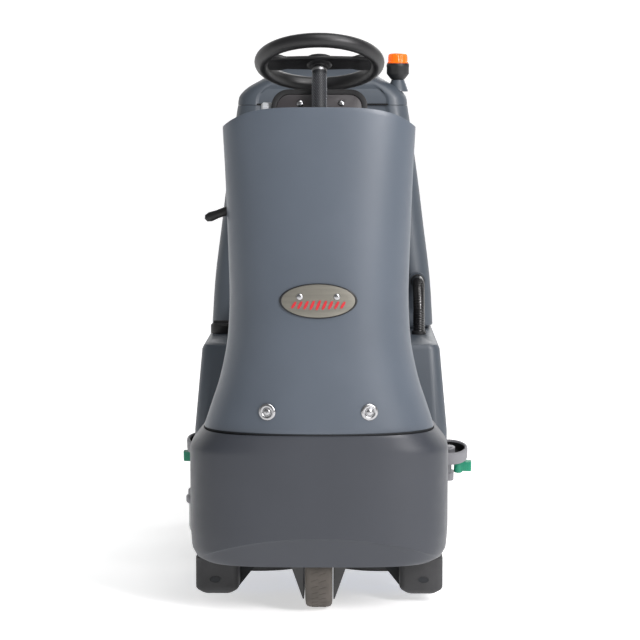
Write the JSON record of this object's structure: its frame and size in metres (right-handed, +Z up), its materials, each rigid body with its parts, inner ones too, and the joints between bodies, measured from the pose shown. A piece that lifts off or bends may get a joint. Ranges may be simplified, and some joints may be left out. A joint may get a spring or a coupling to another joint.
{
  "type": "ride-on floor scrubber dryer",
  "caption": "Compact ride-on floor scrubber dryer with steered front drive wheel, brush deck, tilting seat, recovery tank with lid and a raised rear squeegee.",
  "frame": {"origin": "on the floor, under the middle of the machine's bounding box", "axes": "front faces -Y, the driver's left is +X, +Z is up; the floor is z = 0"},
  "size_m": [0.7957, 1.3245, 1.3006],
  "materials": {
    "frame_black": "semi-gloss powder coat",
    "cowl_grey": "fine moulded texture",
    "shield_grey": "fine satin moulded texture",
    "body_grey": "rotomoulded satin",
    "badge_metal": "satin",
    "chrome_trim": "polished",
    "black_plastic": "fine texture",
    "seat_vinyl": "grained vinyl",
    "rim_rubber": "soft sheen",
    "sleeve_mesh": "braided",
    "pod_brown": "satin",
    "screen": "gloss",
    "stop_red": "gloss",
    "dial_grey": "satin",
    "tyre_rubber": "worn",
    "bright_steel": "turned",
    "deck_charcoal": "painted rough",
    "bristle_blue": "nylon bristle",
    "squeegee_grey": "satin",
    "blade_gum": "natural rubber",
    "latch_green": "satin",
    "hose_black": "glossy",
    "lens_orange": "moulded lens",
    "milky_bowl": "translucent",
    "float_orange": "satin",
    "battery_case": "moulded"
  },
  "bodies": {
    "machine": {"chassis_frame": "frame_black", "lower_cowl": "cowl_grey", "leg_shield": "shield_grey", "badge_plate": "badge_metal", "trim_screws": "chrome_trim", "foot_platform": "frame_black", "lower_body": "body_grey", "batteries": "battery_case", "solution_tank": "body_grey", "recovery_tank": "body_grey", "lid_seal": "hose_black", "vacuum_motor": "bright_steel", "vacuum_hose": "hose_black", "suction_hose": "hose_black", "backrest_cushion": "seat_vinyl", "steering_tower": "frame_black", "tower_cover": "cowl_grey", "column_sleeve": "sleeve_mesh", "control_pod": "black_plastic", "pod_plate": "pod_brown", "display_panel": "screen", "rear_axle": "bright_steel", "deck_actuator": "bright_steel", "solution_filter": "milky_bowl"},
    "lid": {"tank_lid": "body_grey", "float_cage": "milky_bowl", "beacon": "lens_orange"},
    "lid_latch": {"lid_latch": "black_plastic"},
    "float_ball": {"float_ball": "float_orange"},
    "filler_cap": {"filler_cap": "black_plastic"},
    "seat": {"seat_deck": "body_grey", "seat_cushion": "seat_vinyl"},
    "column": {"steering_column": "bright_steel", "steering_wheel": "rim_rubber"},
    "fork": {"wheel_fork": "frame_black", "steer_shaft": "bright_steel"},
    "front_wheel": {"front_tyre": "tyre_rubber", "front_hub": "bright_steel"},
    "rear_wheel_left": {"rear_wheel_left": "tyre_rubber"},
    "rear_wheel_right": {"rear_wheel_right": "tyre_rubber"},
    "key_switch": {"key_switch": "chrome_trim"},
    "stop_button": {"stop_button": "stop_red"},
    "button_left": {"button_left": "dial_grey"},
    "button_middle": {"button_middle": "dial_grey"},
    "button_right": {"button_right": "dial_grey"},
    "speed_dial": {"speed_dial": "dial_grey"},
    "squeegee_lever": {"squeegee_lever": "black_plastic"},
    "drive_pedal": {"drive_pedal": "black_plastic"},
    "brake_pedal": {"brake_pedal": "black_plastic"},
    "deck": {"deck_housing": "deck_charcoal", "brush_motors": "bright_steel"},
    "brush_left": {"brush_left": "bristle_blue"},
    "brush_right": {"brush_right": "bristle_blue"},
    "lift_arm": {"lift_arm": "frame_black"},
    "squeegee": {"squeegee_body": "squeegee_grey", "squeegee_blades": "blade_gum"},
    "roller_left": {"roller_left": "squeegee_grey"},
    "roller_right": {"roller_right": "squeegee_grey"},
    "latch_left": {"latch_left": "latch_green"},
    "latch_right": {"latch_right": "latch_green"}
  },
  "joints": [
    {"name": "lid_hinge", "type": "hinge", "parent": "machine", "child": "lid", "pos_m": [0, 0.512, 1.149], "axis": [1, 0, 0], "range_deg": [-75, 0]},
    {"name": "lid_latch_hinge", "type": "hinge", "parent": "lid", "child": "lid_latch", "pos_m": [0, 0.258, 1.164], "axis": [1, 0, 0], "range_deg": [-70, 0]},
    {"name": "float_rise", "type": "slide", "parent": "lid", "child": "float_ball", "axis": [0, 0, 1], "range_m": [0, 0.045]},
    {"name": "filler_cap_turn", "type": "hinge", "parent": "machine", "child": "filler_cap", "pos_m": [-0.254, 0.12, 0.575], "axis": [0, 0, 1], "range_deg": [0, 90]},
    {"name": "seat_hinge", "type": "hinge", "parent": "machine", "child": "seat", "pos_m": [0, -0.148, 0.576], "axis": [1, 0, 0], "range_deg": [0, 60]},
    {"name": "fork_steer", "type": "hinge", "parent": "machine", "child": "fork", "pos_m": [0, -0.515, 0.3], "axis": [0, 0, 1], "range_deg": [-70, 70]},
    {"name": "column_turn", "type": "hinge", "parent": "machine", "child": "column", "pos_m": [0, -0.43, 1.237], "axis": [0, 0.3584, 0.9336], "range_deg": [-70, 70]},
    {"name": "front_wheel_spin", "type": "hinge", "parent": "fork", "child": "front_wheel", "pos_m": [0, -0.515, 0.115], "axis": [1, 0, 0], "continuous": true},
    {"name": "rear_wheel_left_spin", "type": "hinge", "parent": "machine", "child": "rear_wheel_left", "pos_m": [0.264, 0.33, 0.125], "axis": [1, 0, 0], "continuous": true},
    {"name": "rear_wheel_right_spin", "type": "hinge", "parent": "machine", "child": "rear_wheel_right", "pos_m": [-0.264, 0.33, 0.125], "axis": [1, 0, 0], "continuous": true},
    {"name": "key_turn", "type": "hinge", "parent": "machine", "child": "key_switch", "pos_m": [0, -0.42427, 1.03985], "axis": [0, 0.9336, -0.3584], "range_deg": [0, 60]},
    {"name": "stop_press", "type": "slide", "parent": "machine", "child": "stop_button", "axis": [0, -0.9336, 0.3584], "range_m": [0, 0.005], "stiffness_N_per_m": 900},
    {"name": "button_left_press", "type": "slide", "parent": "machine", "child": "button_left", "axis": [0, -0.9336, 0.3584], "range_m": [0, 0.003], "stiffness_N_per_m": 600},
    {"name": "button_middle_press", "type": "slide", "parent": "machine", "child": "button_middle", "axis": [0, -0.9336, 0.3584], "range_m": [0, 0.003], "stiffness_N_per_m": 600},
    {"name": "button_right_press", "type": "slide", "parent": "machine", "child": "button_right", "axis": [0, -0.9336, 0.3584], "range_m": [0, 0.003], "stiffness_N_per_m": 600},
    {"name": "dial_turn", "type": "hinge", "parent": "machine", "child": "speed_dial", "pos_m": [-0.1093, -0.41701, 1.13133], "axis": [-1, 0, 0], "range_deg": [0, 270]},
    {"name": "squeegee_lift", "type": "hinge", "parent": "machine", "child": "lift_arm", "pos_m": [0, 0.3, 0.178], "axis": [1, 0, 0], "range_deg": [-14, 0], "deforming": ["suction_hose"]},
    {"name": "squeegee_swing", "type": "hinge", "parent": "lift_arm", "child": "squeegee", "pos_m": [0, 0.45958, 0.15801], "axis": [0, -0.2419, 0.9703], "range_deg": [-3, 13]},
    {"name": "lever_swing", "type": "hinge", "parent": "machine", "child": "squeegee_lever", "pos_m": [-0.134, -0.48, 0.93], "axis": [0, 1, 0], "range_deg": [0, 35]},
    {"name": "drive_pedal_press", "type": "hinge", "parent": "machine", "child": "drive_pedal", "pos_m": [-0.115, -0.345, 0.236], "axis": [1, 0, 0], "range_deg": [0, 14], "stiffness_Nm_per_rad": 6, "springref_deg": -14.32},
    {"name": "brake_pedal_press", "type": "hinge", "parent": "machine", "child": "brake_pedal", "pos_m": [0.115, -0.345, 0.236], "axis": [1, 0, 0], "range_deg": [0, 14], "stiffness_Nm_per_rad": 6, "springref_deg": -14.32},
    {"name": "deck_lift", "type": "slide", "parent": "machine", "child": "deck", "axis": [0, 0, 1], "range_m": [-0.05, 0]},
    {"name": "brush_left_spin", "type": "hinge", "parent": "deck", "child": "brush_left", "pos_m": [0.143, -0.235, 0.06], "axis": [0, 0, 1], "continuous": true},
    {"name": "brush_right_spin", "type": "hinge", "parent": "deck", "child": "brush_right", "pos_m": [-0.143, -0.235, 0.06], "axis": [0, 0, 1], "continuous": true},
    {"name": "roller_left_spin", "type": "hinge", "parent": "squeegee", "child": "roller_left", "pos_m": [0.34326, 0.52057, 0.19589], "axis": [0, -0.2419, 0.9703], "continuous": true},
    {"name": "roller_right_spin", "type": "hinge", "parent": "squeegee", "child": "roller_right", "pos_m": [-0.32618, 0.5774, 0.21006], "axis": [0, -0.2419, 0.9703], "continuous": true},
    {"name": "latch_left_turn", "type": "hinge", "parent": "squeegee", "child": "latch_left", "pos_m": [0.37051, 0.53231, 0.15553], "axis": [0, -0.2419, 0.9703], "range_deg": [-40, 0]},
    {"name": "latch_right_turn", "type": "hinge", "parent": "squeegee", "child": "latch_right", "pos_m": [-0.35273, 0.59371, 0.17084], "axis": [0, -0.2419, 0.9703], "range_deg": [0, 40]}
  ],
  "couplings": [
    {"joint": "column_turn", "follows": "fork_steer", "ratio": 1},
    {"joint": "lever_swing", "follows": "squeegee_lift", "ratio": -2.5}
  ]
}
